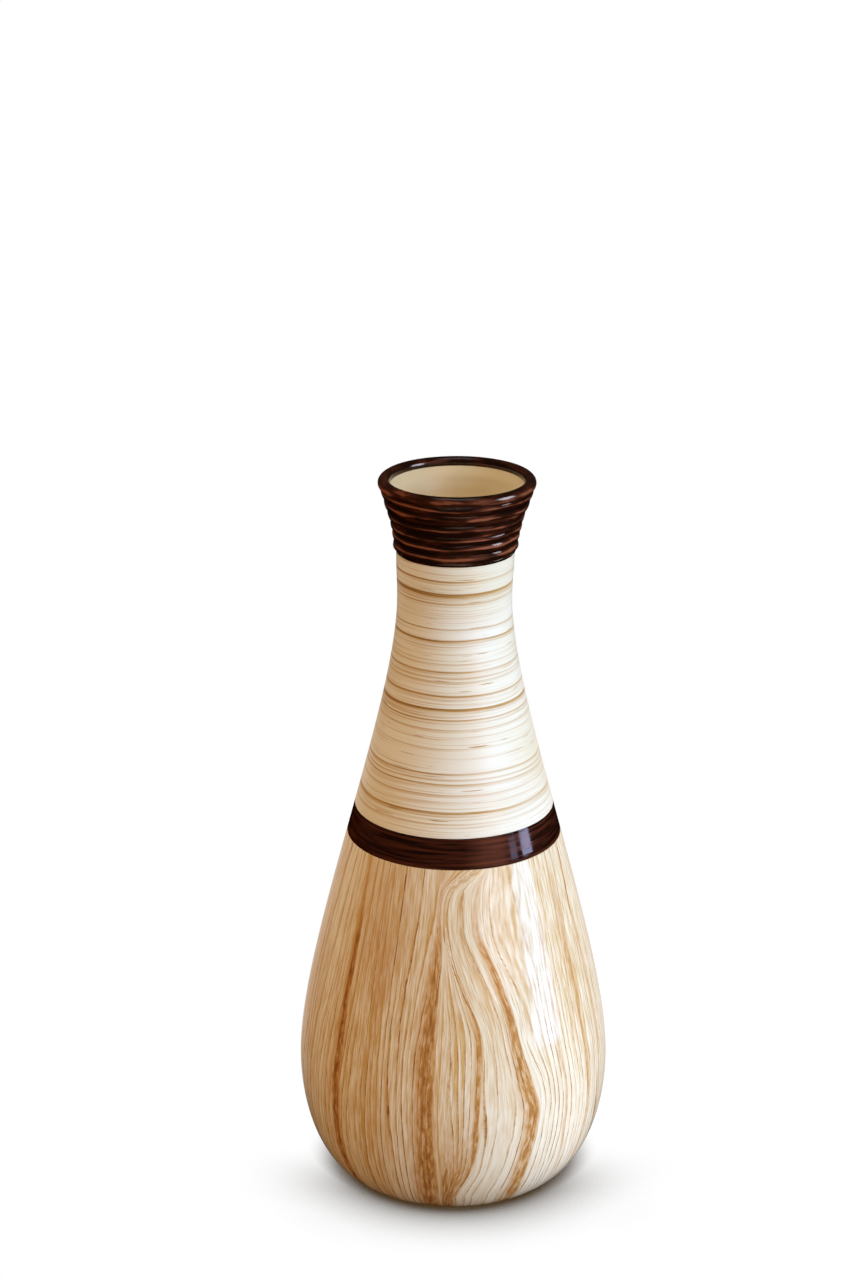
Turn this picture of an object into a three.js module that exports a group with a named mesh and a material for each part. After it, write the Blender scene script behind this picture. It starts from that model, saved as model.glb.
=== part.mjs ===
// Ceramic vase in millimetres, +Z up. The origin is the centre of the foot, on the surface that it stands on.
// A bulb and a neck are joined at the waist by a spigot and a socket. An inlaid band covers that joint, coils
// and a rolled lip dress the mouth, and a glaze coat lines the inside.
import * as THREE from 'three';

// Driving dimensions, from the foot up

const FOOT_RADIUS = 30; // outer edge of the ring that the vase stands on
const FOOT_RING_WIDTH = 6; // width of that ring
const FOOT_RECESS = 2; // depth of the hollow inside the ring
const FLOOR_THICKNESS = 5; // clay between that hollow and the inside

const BELLY_RADIUS = 53; // widest place
const BELLY_HEIGHT = 42.5; // its height above the surface
const BULB_HEIGHT = 126; // surface to the lower edge of the band
const BAND_HEIGHT = 10; // band, measured along the axis
const NECK_LENGTH = 89; // band to the lowest coil
const THROAT_RADIUS = 18.9; // narrowest place
const THROAT_BELOW_COLLAR = 16.5; // from the lowest coil down to the narrowest place
const MOUTH_RADIUS = 24.2; // outside of the neck's flare, carried up to the mouth
const COIL_HEIGHTS = [4.0, 3.1, 3.0, 3.7, 4.2, 3.3]; // uneven, as laid by hand, lowest first

// How far the outline keeps its direction before it bends away
const FOOT_RUN = 15; // outwards from the foot
const BELLY_DROP = 21; // down from the belly
const BELLY_RISE = 39; // up from the belly
const THROAT_DROP = 36.5; // down from the throat
const THROAT_RISE = 22.4; // up from the throat
const MOUTH_DROP = 17.5; // down from the mouth
const MOUTH_FLARE = 6; // inwards from the mouth, over that drop

// Walls and small forms
const WALL = 5.5; // bulb and neck, measured level
const MOUTH_WALL = 2.2; // neck behind the coils, at the mouth
const LINING = 0.8; // glaze coat on the inside
const BAND_DEPTH = 1.6; // channel that the band lies in
const SPIGOT_HEIGHT = 4; // how far the bulb's spigot stands into the neck
const COIL_REBATE = 0.6; // how far the coils sink into the flare
const COIL_PROUD = 0.9; // how far their crests stand out of it
const COIL_GROOVE = 0.9; // depth of the grooves between them
const LIP_ROLL = 1.95; // radius of the rolled lip's section
const LIP_OVERHANG = 1.8; // how far the lip stands out past the flare
const LIP_SEAT_WIDTH = 2.6; // flat under the lip
const CLEARANCE = 0.3; // slip joint between one piece and the next

// Smoothness of the faceted solids
const TURN_STEPS = 40; // facets round the axis
const FOOT_STEPS = 7; // foot to belly
const SIDE_STEPS = 10; // belly to throat
const FLARE_STEPS = 5; // throat to mouth
const COIL_STEPS = 5; // over one coil
const LIP_STEPS = 10; // round the lip
const LEAST_STEP = 0.8; // outline points closer than this to a cut are left out

// Heights that follow from them

const bandTop = BULB_HEIGHT + BAND_HEIGHT;
const collarBottom = bandTop + NECK_LENGTH;
const throatHeight = collarBottom - THROAT_BELOW_COLLAR;
const mouthHeight = COIL_HEIGHTS.reduce((height, coil) => height + coil, collarBottom);
const floorHeight = FOOT_RECESS + FLOOR_THICKNESS;
const jointHeight = BULB_HEIGHT + BAND_HEIGHT / 2;
const spigotTop = jointHeight + SPIGOT_HEIGHT;

// Outlines. Each is three curves of radius (x) and height (y): foot to belly, belly to throat, throat to mouth.

const at = (radius, height) => new THREE.Vector2(radius, height);

// The outline that lies the given distances inside the outer one, from a level floor.
function outline(bodyInset, mouthInset, floor) {
  const foot = FOOT_RADIUS - bodyInset;
  const belly = BELLY_RADIUS - bodyInset;
  const throat = THROAT_RADIUS - bodyInset;
  const mouth = MOUTH_RADIUS - mouthInset;
  return [
    new THREE.CubicBezierCurve(
      at(foot, floor),
      at(foot + FOOT_RUN, floor),
      at(belly, BELLY_HEIGHT - BELLY_DROP),
      at(belly, BELLY_HEIGHT),
    ),
    new THREE.CubicBezierCurve(
      at(belly, BELLY_HEIGHT),
      at(belly, BELLY_HEIGHT + BELLY_RISE),
      at(throat, throatHeight - THROAT_DROP),
      at(throat, throatHeight),
    ),
    new THREE.CubicBezierCurve(
      at(throat, throatHeight),
      at(throat, throatHeight + THROAT_RISE),
      at(mouth - MOUTH_FLARE, mouthHeight - MOUTH_DROP),
      at(mouth, mouthHeight),
    ),
  ];
}

// Radius of an outline at a height. Height grows all the way along each curve, so halving finds the place.
function radiusAt(curves, height) {
  const curve = curves.find((each) => each.v3.y >= height) ?? curves.at(-1);
  let low = 0;
  let high = 1;
  while (high - low > 1e-7) {
    const middle = (low + high) / 2;
    if (curve.getPoint(middle).y < height) low = middle;
    else high = middle;
  }
  return curve.getPoint(high).x;
}

// Points of an outline between two heights, upwards. A shift moves them all in or out.
function stretch(curves, from, to, shift = 0) {
  const [foot, side, flare] = curves;
  const along = [
    ...foot.getPoints(FOOT_STEPS),
    ...side.getPoints(SIDE_STEPS).slice(1),
    ...flare.getPoints(FLARE_STEPS).slice(1),
  ].filter((point) => point.y > from + LEAST_STEP && point.y < to - LEAST_STEP);
  const ends = [from, to].map((height) => at(radiusAt(curves, height), height));
  return [ends[0], ...along, ends[1]].map((point) => at(point.x + shift, point.y));
}

const outside = outline(0, 0, 0);
const inside = outline(WALL, COIL_REBATE + MOUTH_WALL, floorHeight);
const liningBack = outline(WALL + CLEARANCE, COIL_REBATE + MOUTH_WALL + CLEARANCE, floorHeight + CLEARANCE);
const liningFace = outline(
  WALL + CLEARANCE + LINING,
  COIL_REBATE + MOUTH_WALL + CLEARANCE + LINING,
  floorHeight + CLEARANCE + LINING,
);

// What the band's channel and the slip joint leave of the wall is shared by the spigot and the socket's skirt.
const spigotWall = (WALL - BAND_DEPTH - CLEARANCE) / 2;

// A solid turned round the axis from its section, listed anticlockwise with the axis on the left.
function turned(section) {
  return new THREE.LatheGeometry(section, TURN_STEPS).rotateX(Math.PI / 2);
}

// A section that closes on itself away from the axis.
const ring = (section) => turned([...section, section[0]]);

// Pieces

function lowerBody() {
  const recess = FOOT_RADIUS - FOOT_RING_WIDTH;
  return turned([
    at(0, FOOT_RECESS),
    at(recess - FOOT_RECESS, FOOT_RECESS),
    at(recess, 0),
    ...stretch(outside, 0, BULB_HEIGHT),
    ...stretch(outside, BULB_HEIGHT, jointHeight, -BAND_DEPTH),
    ...stretch(inside, jointHeight, spigotTop, spigotWall),
    ...stretch(inside, floorHeight, spigotTop).reverse(),
    at(0, floorHeight),
  ]);
}

function neck() {
  const skirt = jointHeight + CLEARANCE;
  const socketTop = spigotTop + CLEARANCE;
  return ring([
    ...stretch(outside, skirt, bandTop, -BAND_DEPTH),
    ...stretch(outside, bandTop, collarBottom),
    ...stretch(outside, collarBottom, mouthHeight, -COIL_REBATE),
    ...stretch(inside, socketTop, mouthHeight).reverse(),
    ...stretch(inside, skirt, socketTop, spigotWall + CLEARANCE).reverse(),
  ]);
}

function waistBand() {
  const low = BULB_HEIGHT + CLEARANCE;
  const high = bandTop - CLEARANCE;
  return ring([
    ...stretch(outside, low, high),
    ...stretch(outside, low, high, CLEARANCE - BAND_DEPTH).reverse(),
  ]);
}

// One coil from its lower to its upper height: flat against the flare and round outside.
function collarCoil(bottom, top) {
  const low = bottom + CLEARANCE / 2;
  const high = top - CLEARANCE / 2;
  const round = [];
  for (let step = 0; step <= COIL_STEPS; step += 1) {
    const turn = Math.PI * (step / COIL_STEPS - 1 / 2);
    const height = (low + high) / 2 + ((high - low) / 2) * Math.sin(turn);
    const groove = radiusAt(outside, height) + COIL_PROUD - COIL_GROOVE;
    round.push(at(groove + COIL_GROOVE * Math.cos(turn), height));
  }
  const seat = [low, high].map((height) => at(radiusAt(outside, height) - COIL_REBATE + CLEARANCE, height));
  return ring([...round, ...seat.reverse()]);
}

// A round roll with a flat seat on the mouth.
function rolledLip() {
  const seatHalf = LIP_SEAT_WIDTH / 2;
  const rise = Math.sqrt(LIP_ROLL ** 2 - seatHalf ** 2);
  const centre = at(MOUTH_RADIUS + LIP_OVERHANG - LIP_ROLL, mouthHeight + CLEARANCE + rise);
  const start = -Math.atan2(rise, seatHalf);
  const roll = new THREE.Path().absarc(centre.x, centre.y, LIP_ROLL, start, Math.PI - start, false);
  return ring(roll.getPoints(LIP_STEPS));
}

function glazeLining() {
  return turned([
    at(0, floorHeight + CLEARANCE),
    ...stretch(liningBack, floorHeight + CLEARANCE, mouthHeight),
    ...stretch(liningFace, floorHeight + CLEARANCE + LINING, mouthHeight).reverse(),
    at(0, floorHeight + CLEARANCE + LINING),
  ]);
}

// Finishes

const finishes = {
  woodGlaze: new THREE.MeshStandardMaterial({ color: 0xd8b98c, roughness: 0.25, metalness: 0 }),
  creamGlaze: new THREE.MeshStandardMaterial({ color: 0xe9dcc2, roughness: 0.3, metalness: 0 }),
  darkGlaze: new THREE.MeshStandardMaterial({ color: 0x2b1410, roughness: 0.12, metalness: 0 }),
  coilGlaze: new THREE.MeshStandardMaterial({ color: 0x3d1c10, roughness: 0.2, metalness: 0 }),
  liningGlaze: new THREE.MeshStandardMaterial({ color: 0xddd0b8, roughness: 0.3, metalness: 0 }),
};

// Assembly

const vase = new THREE.Group();
vase.name = 'ceramic_vase';

function place(name, geometry, finish) {
  const piece = new THREE.Mesh(geometry, finish);
  piece.name = name;
  vase.add(piece);
}

place('lower_body', lowerBody(), finishes.woodGlaze);
place('neck', neck(), finishes.creamGlaze);
place('waist_band', waistBand(), finishes.darkGlaze);
let coilBottom = collarBottom;
COIL_HEIGHTS.forEach((height, index) => {
  place(`collar_coil_${index + 1}`, collarCoil(coilBottom, coilBottom + height), finishes.coilGlaze);
  coilBottom += height;
});
place('rolled_lip', rolledLip(), finishes.coilGlaze);
place('glaze_lining', glazeLining(), finishes.liningGlaze);

export default vase;
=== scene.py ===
"""Looks of a ceramic vase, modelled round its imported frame.

Blender works in metres, and the sizes below are in millimetres. +Z is up along the axis that every
piece is turned round, and the front of the vase faces -Y. An angle round the axis is measured from
that front, growing towards +X.
"""

import logging
import math
from collections.abc import Callable, Iterable, Mapping, Sequence
from dataclasses import dataclass, field
from enum import Enum

import bmesh
import bpy
from mathutils import Matrix, Vector, noise
from mathutils.geometry import interpolate_bezier


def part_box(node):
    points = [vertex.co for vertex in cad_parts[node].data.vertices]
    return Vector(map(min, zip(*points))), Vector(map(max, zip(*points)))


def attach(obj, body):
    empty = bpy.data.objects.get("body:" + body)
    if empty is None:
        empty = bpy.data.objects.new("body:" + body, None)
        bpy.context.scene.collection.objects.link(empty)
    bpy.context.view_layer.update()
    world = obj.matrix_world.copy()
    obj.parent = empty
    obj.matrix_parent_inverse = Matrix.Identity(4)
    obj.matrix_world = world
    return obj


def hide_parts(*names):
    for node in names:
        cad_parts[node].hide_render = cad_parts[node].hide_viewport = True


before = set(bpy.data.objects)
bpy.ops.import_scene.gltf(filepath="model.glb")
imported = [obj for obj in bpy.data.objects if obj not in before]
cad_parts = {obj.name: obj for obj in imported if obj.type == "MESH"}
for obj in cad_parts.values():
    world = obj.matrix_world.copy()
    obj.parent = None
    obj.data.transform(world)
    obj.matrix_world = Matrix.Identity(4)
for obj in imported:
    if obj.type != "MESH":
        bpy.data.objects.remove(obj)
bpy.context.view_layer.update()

LOG = logging.getLogger("vase")

Point = tuple[float, float]  # radius and height, or the two ends of a range
Triple = tuple[float, float, float]
Four = tuple[float, float, float, float]

MM = 0.001  # metres in a millimetre
HAIR = 0.01  # how far the looks stay inside the solids at their widest place
SHARP_ANGLE = math.radians(35)  # edges that turn more than this stay crisp
MERGE_DISTANCE = 1e-7  # metres, for the seam and the poles of a turned mesh
CORNER_REACH = 1e-3  # how close to a corner of the section an edge has to lie to be rounded
FACING_DOWN = -0.9  # faces whose normal points lower than this look down

# Sizes that neighbouring pieces share
CLEARANCE = 0.3  # slip joint between the solids, which the glaze fills here
WALL = 5.5  # bulb and neck, measured level
MOUTH_WALL = 2.2  # neck behind the coils, at the mouth
BAND_DEPTH = 1.6  # channel that the band lies in
SPIGOT = 4.0  # how far the bulb's spigot stands into the neck
SPIGOT_WALL = (WALL - BAND_DEPTH - CLEARANCE) / 2  # shared by the spigot and the neck's skirt
COIL_REBATE = 0.6  # how far the coils sink into the flare
RIM_ROUND = 0.2  # rounding of the rims beside the band and the collar

# How the thrown vase strays from a true turned form
SWELL = 0.018  # share by which the neck swells under the collar
SWELL_START = (211.0, 221.0)  # heights over which the swelling comes
SWELL_END = (232.0, 225.0)  # heights where it has gone and where it starts to go
LEAN = 0.75  # how far the mouth leans to the right
LEAN_HEIGHTS = (205.0, 255.0)  # heights over which it leans

# Names of what the meshes carry for the finishes
GRAIN_MAP = "grain_flow"  # UV map that follows the grain of the bulb
CROWDING = "crowding"  # attribute that tells how many times closer than upright the grain lies
# On a coil the crest lies on the upper slope, so the colour drawn from it is partly painted top light and
# shade.
CREST = "crest"  # attribute that is 1 on the crest of a coil and 0 in its grooves

# Settings that many nodes share
SMOOTH = {"interpolation_type": "SMOOTHSTEP"}  # a range that eases in and out
IN_COLOUR = {"data_type": "RGBA"}  # a mix of colours


# Numbers and colours


def linear(colour: str) -> Four:
    """Turns an sRGB hex colour into linear light.

    Args:
        colour: Six hex digits after a number sign.

    Returns:
        Red, green, blue and full opacity.
    """
    shares = [int(colour[start : start + 2], 16) / 255 for start in (1, 3, 5)]
    red, green, blue = [
        share / 12.92 if share <= 0.04045 else ((share + 0.055) / 1.055) ** 2.4 for share in shares
    ]
    return red, green, blue, 1.0


def ease(low: float, high: float, value: float) -> float:
    """Goes smoothly from 0 at low to 1 at high, which may be the smaller one."""
    share = min(1.0, max(0.0, (value - low) / (high - low)))
    return share * share * (3 - 2 * share)


def angle_of(place: Vector) -> float:
    """The angle of a place round the axis, in radians from the front."""
    return math.atan2(place.x, -place.y)


def ripple(angle: float, height: float, waves: float, run: float, seed: float) -> float:
    """Smooth noise on a turned surface.

    Args:
        angle: Angle round the axis, in radians.
        height: Height in millimetres.
        waves: How many times the noise swells in one radian.
        run: Height in millimetres over which it changes.
        seed: Picks one noise of many.

    Returns:
        A value from about -1 to 1.
    """
    place = Vector((waves * math.sin(angle) + seed, waves * math.cos(angle) - seed, height / run + seed))
    return noise.noise(place)


# Shader nodes


class Kind(Enum):
    """The shader nodes that the finishes and the studio are made of."""

    COORDINATES = "ShaderNodeTexCoord"
    UV = "ShaderNodeUVMap"
    ATTRIBUTE = "ShaderNodeAttribute"
    SPLIT = "ShaderNodeSeparateXYZ"
    JOIN = "ShaderNodeCombineXYZ"
    MATH = "ShaderNodeMath"
    VECTOR = "ShaderNodeVectorMath"
    RANGE = "ShaderNodeMapRange"
    NOISE = "ShaderNodeTexNoise"
    HASH = "ShaderNodeTexWhiteNoise"
    MIX = "ShaderNodeMix"
    BUMP = "ShaderNodeBump"
    PRINCIPLED = "ShaderNodeBsdfPrincipled"
    DIFFUSE = "ShaderNodeBsdfDiffuse"
    EMISSION = "ShaderNodeEmission"
    BACKGROUND = "ShaderNodeBackground"
    MIX_SHADER = "ShaderNodeMixShader"
    OCCLUSION = "ShaderNodeAmbientOcclusion"
    LIGHT_PATH = "ShaderNodeLightPath"
    MATERIAL_OUTPUT = "ShaderNodeOutputMaterial"
    WORLD_OUTPUT = "ShaderNodeOutputWorld"


Socket = bpy.types.NodeSocket
Value = Socket | float | str | tuple[float, ...]


class NodeBench:
    """A node tree of a material or a world, and the one way to add a node to it."""

    def __init__(self, owner: bpy.types.Material | bpy.types.World) -> None:
        """Empties the owner's node tree.

        Args:
            owner: The material or the world that the nodes are for.
        """
        owner.use_nodes = True
        self.tree = owner.node_tree
        self.tree.nodes.clear()

    def add(
        self,
        kind: Kind,
        inputs: Sequence[Value] | Mapping[str, Value] = (),
        out: int | str = 0,
        **settings: object,
    ) -> Socket | None:
        """Adds a node with its settings, and fills or links its inputs.

        Args:
            kind: The kind of node.
            inputs: Sockets, values or hex colours, in the order of the node's inputs or by their names.
            out: Which output is wanted, by place or name.
            **settings: The node's own properties.

        Returns:
            The wanted output, or nothing for a node that has none.
        """
        node = self.tree.nodes.new(kind.value)
        for name, setting in settings.items():
            setattr(node, name, setting)
        sockets = [each for each in node.inputs if each.enabled]
        named = inputs.items() if isinstance(inputs, Mapping) else enumerate(inputs)
        for key, value in named:
            socket = sockets[key] if isinstance(key, int) else next(s for s in sockets if s.name == key)
            if isinstance(value, Socket):
                self.tree.links.new(value, socket)
            else:
                socket.default_value = linear(value) if isinstance(value, str) else value
        outputs = [each for each in node.outputs if each.enabled]
        if isinstance(out, int):
            return outputs[out] if outputs else None
        return next(each for each in outputs if each.name == out)


def seen_ray(bench: NodeBench) -> Socket:
    """Tells the rays that show the background itself from those that only light the vase.

    Args:
        bench: The nodes of a material or a world.

    Returns:
        1 for camera, glossy and transmission rays, and 0 for the rest.
    """
    seen: Value = 0.0
    for ray in ("Is Camera Ray", "Is Glossy Ray", "Is Transmission Ray"):
        seen = bench.add(Kind.MATH, [seen, bench.add(Kind.LIGHT_PATH, out=ray)], operation="MAXIMUM")
    return seen


def millimetres(bench: NodeBench) -> Socket:
    """The place on an object in millimetres, from its own coordinates."""
    metres = bench.add(Kind.COORDINATES, out="Object")
    return bench.add(Kind.VECTOR, [metres, (1 / MM,) * 3], operation="MULTIPLY")


def stretched_noise(
    bench: NodeBench, place: Socket, marks: Point, detail: float, unit: float = 1.0
) -> Socket:
    """Noise whose marks have one size round the axis and another along it.

    Args:
        bench: The material's nodes.
        place: Place on the piece.
        marks: Size of the marks round the axis and along it, in millimetres.
        detail: How many finer layers are added.
        unit: Millimetres in one unit of the place.

    Returns:
        The noise, from 0 to 1.
    """
    across, along = marks
    scale = (unit / across, unit / across, unit / along)
    scaled = bench.add(Kind.VECTOR, [place, scale], operation="MULTIPLY")
    return bench.add(Kind.NOISE, {"Vector": scaled, "Scale": 1.0, "Detail": detail})


def glaze(
    bench: NodeBench,
    colour: Value,
    roughness: Value,
    height: Socket,
    relief: float,
    ior: float,
) -> None:
    """Ends a material as glazed ceramic.

    Args:
        bench: The material's nodes.
        colour: Colour under the glaze.
        roughness: How much the gloss spreads.
        height: Relief of the surface, from 0 to 1.
        relief: Depth of that relief in millimetres.
        ior: Refractive index of the glaze.
    """
    normal = bench.add(Kind.BUMP, {"Strength": 1.0, "Distance": relief * MM, "Height": height})
    surface = bench.add(
        Kind.PRINCIPLED,
        {"Base Color": colour, "Roughness": roughness, "IOR": ior, "Normal": normal},
    )
    bench.add(Kind.MATERIAL_OUTPUT, {"Surface": surface})


def iron_slip(bench: NodeBench, ground: Value, amount: Socket, thin: str, thick: str) -> Socket:
    """Lays iron slip over a ground, golden where it is thin and brown where it is thick.

    Args:
        bench: The material's nodes.
        ground: Colour under the slip.
        amount: How much slip there is, from 0 to 1.
        thin: Colour of a thin coat.
        thick: Colour of a thick coat.

    Returns:
        The colour of the slip on its ground.
    """
    veil = bench.add(Kind.RANGE, [amount, 0.0, 0.6, 0.0, 1.0])
    colour = bench.add(Kind.MIX, {"Factor": veil, "A": ground, "B": thin}, **IN_COLOUR)
    body = bench.add(Kind.RANGE, [amount, 0.5, 1.0, 0.0, 1.0])
    return bench.add(Kind.MIX, {"Factor": body, "A": colour, "B": thick}, **IN_COLOUR)


# Outline


@dataclass(frozen=True)
class Outline:
    """The vase's outline, as three curves of radius and height: foot, side and flare.

    The heights come from the frame. The radii and handles are the solids' own, with a thin coat of
    glaze from the throat to the mouth.
    """

    belly: float
    band_low: float
    band_high: float
    collar_low: float
    mouth_height: float
    foot: float = 30.0
    belly_height: float = 42.5
    throat: float = 19.0
    throat_below_collar: float = 16.5
    mouth: float = 24.4
    foot_run: float = 15.0
    belly_drop: float = 21.0
    belly_rise: float = 39.0
    throat_drop: float = 36.5
    throat_rise: float = 22.4
    mouth_drop: float = 17.5
    mouth_flare: float = 5.5

    @classmethod
    def from_frame(cls) -> "Outline":
        """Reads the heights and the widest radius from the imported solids.

        Returns:
            The outline.
        """
        band_low, band_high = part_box("waist_band")
        return cls(
            belly=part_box("lower_body")[1].x / MM - HAIR,
            band_low=band_low.z / MM - CLEARANCE,
            band_high=band_high.z / MM + CLEARANCE,
            collar_low=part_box("collar_coil_1")[0].z / MM - CLEARANCE / 2,
            mouth_height=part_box("rolled_lip")[0].z / MM - CLEARANCE,
        )

    @property
    def joint(self) -> float:
        """Height where the bulb's shoulder carries the neck, behind the middle of the band."""
        return (self.band_low + self.band_high) / 2

    def curve(
        self,
        body_inset: float = 0.0,
        mouth_inset: float = 0.0,
        floor: float = 0.0,
        steps: int = 72,
    ) -> list[Point]:
        """Points of the outline that lies the given distances inside the outer one.

        Args:
            body_inset: Distance inside from the foot to the throat.
            mouth_inset: Distance inside at the mouth.
            floor: Height where the outline starts.
            steps: How many points each of the three curves has.

        Returns:
            Radius and height of each point, upwards.
        """
        foot, belly = self.foot - body_inset, self.belly - body_inset
        throat, mouth = self.throat - body_inset, self.mouth - mouth_inset
        throat_height = self.collar_low - self.throat_below_collar
        stretches = (
            (
                (foot, floor),
                (foot + self.foot_run, floor),
                (belly, self.belly_height - self.belly_drop),
                (belly, self.belly_height),
            ),
            (
                (belly, self.belly_height),
                (belly, self.belly_height + self.belly_rise),
                (throat, throat_height - self.throat_drop),
                (throat, throat_height),
            ),
            (
                (throat, throat_height),
                (throat, throat_height + self.throat_rise),
                (mouth - self.mouth_flare, self.mouth_height - self.mouth_drop),
                (mouth, self.mouth_height),
            ),
        )
        points: list[Point] = []
        for stretch in stretches:
            bend = interpolate_bezier(*[Vector(each) for each in stretch], steps)
            points += [(each.x, each.y) for each in bend[bool(points) :]]
        return points


def radius_at(curve: Sequence[Point], height: float) -> float:
    """Finds the radius of a rising curve at a height.

    Args:
        curve: Points of radius and height, upwards.
        height: Height in millimetres.

    Returns:
        The radius there, or the last one above the curve's end.
    """
    for (inner, low), (outer, high) in zip(curve, curve[1:]):
        if height <= high:
            return inner + (outer - inner) * (height - low) / (high - low)
    return curve[-1][0]


def between(curve: Sequence[Point], low: float, high: float, shift: float = 0.0) -> list[Point]:
    """Cuts the stretch between two heights out of a rising curve.

    Args:
        curve: Points of radius and height, upwards.
        low: Height where the stretch starts.
        high: Height where it ends.
        shift: Distance by which the stretch moves outwards.

    Returns:
        Points of the stretch, with one at each end.
    """
    inner = [point for point in curve if low < point[1] < high]
    ends = [(radius_at(curve, height), height) for height in (low, high)]
    return [(radius + shift, height) for radius, height in (ends[0], *inner, ends[1])]


# Meshes


def by_hand(place: Vector) -> Vector:
    """Moves a place as far as the thrown vase strays from a true turned form.

    The neck swells a little under the collar, and the mouth leans to the right.

    Args:
        place: A place on the true form, in metres.

    Returns:
        The place on the vase.
    """
    height = place.z / MM
    swell = 1 + SWELL * ease(*SWELL_START, height) * ease(*SWELL_END, height)
    lean = LEAN * ease(*LEAN_HEIGHTS, height)
    return Vector((place.x * swell + lean * MM, place.y * swell, place.z))


def spun(section: Sequence[Point], steps: int) -> bmesh.types.BMesh:
    """Draws a section as a wire and spins it once round the axis.

    Args:
        section: Radius and height of the wire's points.
        steps: How many faces go round the axis.

    Returns:
        The mesh, in metres.
    """
    mesh = bmesh.new()
    wire = [mesh.verts.new((radius * MM, 0.0, height * MM)) for radius, height in section]
    edges = [mesh.edges.new(pair) for pair in zip(wire, wire[1:])]
    bmesh.ops.spin(
        mesh,
        geom=[*wire, *edges],
        axis=(0.0, 0.0, 1.0),
        cent=(0.0, 0.0, 0.0),
        angle=math.tau,
        steps=steps,
        use_merge=True,
    )
    return mesh


def placed(
    name: str, mesh: bmesh.types.BMesh, materials: Sequence[bpy.types.Material]
) -> bpy.types.Object:
    """Makes an object of a mesh that is ready, and frees the mesh.

    Args:
        name: The object's name.
        mesh: Its mesh.
        materials: Its materials, in the order of the faces' numbers.

    Returns:
        The object, at the origin of the scene.
    """
    data = bpy.data.meshes.new(name)
    mesh.to_mesh(data)
    mesh.free()
    for material in materials:
        data.materials.append(material)
    made = bpy.data.objects.new(name, data)
    bpy.context.scene.collection.objects.link(made)
    return made


@dataclass
class Turned:
    """A closed mesh turned round the axis from a section, while it is being made."""

    section: Sequence[Point]
    steps: int = 160
    mesh: bmesh.types.BMesh = field(init=False)

    def __post_init__(self) -> None:
        """Spins the section, closes the seam and the poles, and turns the faces outwards."""
        self.mesh = spun(self.section, self.steps)
        bmesh.ops.remove_doubles(self.mesh, verts=self.mesh.verts, dist=MERGE_DISTANCE)
        bmesh.ops.recalc_face_normals(self.mesh, faces=self.mesh.faces)

    def round_edges(self, corners: Iterable[Point], width: float, segments: int = 3) -> None:
        """Rounds the edges that run round the axis through given corners of the section.

        Args:
            corners: The section's corners to round.
            width: Width of the rounding.
            segments: How many faces the rounding has.
        """
        wanted = list(corners)

        def at_corner(vert: bmesh.types.BMVert, corner: Point) -> bool:
            """Whether a vertex lies at a corner of the section."""
            away = (vert.co.xy.length / MM - corner[0], vert.co.z / MM - corner[1])
            return max(map(abs, away)) < CORNER_REACH

        edges = [
            edge
            for edge in self.mesh.edges
            if any(all(at_corner(vert, corner) for vert in edge.verts) for corner in wanted)
        ]
        bmesh.ops.bevel(
            self.mesh,
            geom=edges,
            offset=width * MM,
            segments=segments,
            profile=0.5,
            affect="EDGES",
            material=-1,
        )

    def reshape(self, move: Callable[[float, float, float], Point]) -> None:
        """Moves each vertex in the plane through it and the axis.

        Args:
            move: Gives the new radius and height for an angle, a radius and a height.
        """
        for vert in self.mesh.verts:
            angle = angle_of(vert.co)
            radius, height = move(angle, vert.co.xy.length / MM, vert.co.z / MM)
            vert.co = Vector((radius * math.sin(angle), -radius * math.cos(angle), height)) * MM

    def finish(
        self, name: str, materials: Sequence[bpy.types.Material], node: str
    ) -> bpy.types.Object:
        """Makes the piece, smooth but for its sharp edges, ties it to the frame and reports it.

        Args:
            name: The piece's name.
            materials: Its materials, in the order of the faces' numbers.
            node: The solid that it stands for.

        Returns:
            The finished piece.
        """
        for vert in self.mesh.verts:
            vert.co = by_hand(vert.co)
        for face in self.mesh.faces:
            face.smooth = True
        for edge in self.mesh.edges:
            edge.smooth = edge.calc_face_angle(0.0) < SHARP_ANGLE
        piece = placed(name, self.mesh, materials)
        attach(piece, "root")
        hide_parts(node)
        LOG.info("%s stands for %s, %d faces", piece.name, node, len(piece.data.polygons))
        return piece


# Finishes


@dataclass(frozen=True)
class Streak:
    """A broad brown streak of the grain, in degrees of the grain map.

    Its width goes from the low one to the high one between two heights.
    """

    place: float
    low_width: float
    high_width: float
    depth: float
    heights: Point = (53.0, 100.0)


class GrainNodes:
    """The sockets that a finish on the bulb's grain map starts from."""

    def __init__(self, bench: NodeBench, belly: float) -> None:
        """Reads the map and the crowding, and wraps the map round a cylinder, so that it has no seam.

        Args:
            bench: The material's nodes.
            belly: Radius of the belly, the unit of the map's heights.
        """
        self.bench = bench
        self.belly = belly
        flow = bench.add(Kind.UV, uv_map=GRAIN_MAP)
        self.turn = bench.add(Kind.SPLIT, [flow], out="X")
        self.rise = bench.add(Kind.SPLIT, [flow], out="Y")
        self.degrees = bench.add(Kind.MATH, [self.turn, 360.0], operation="MULTIPLY")
        self.crowd = bench.add(Kind.ATTRIBUTE, out="Fac", attribute_name=CROWDING)
        angle = bench.add(Kind.MATH, [self.turn, math.tau], operation="MULTIPLY")
        across = bench.add(Kind.MATH, [angle], operation="COSINE")
        along = bench.add(Kind.MATH, [angle], operation="SINE")
        self.place = bench.add(Kind.JOIN, [across, along, self.rise])

    def noise(self, pitch: float, run: float, detail: float) -> Socket:
        """Noise with marks of a given pitch across the grain and run along it, in millimetres."""
        return stretched_noise(self.bench, self.place, (pitch, run), detail, self.belly)

    def heights(self, ends: Point) -> list[float]:
        """Heights in the unit of the map."""
        return [height / self.belly for height in ends]


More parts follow.
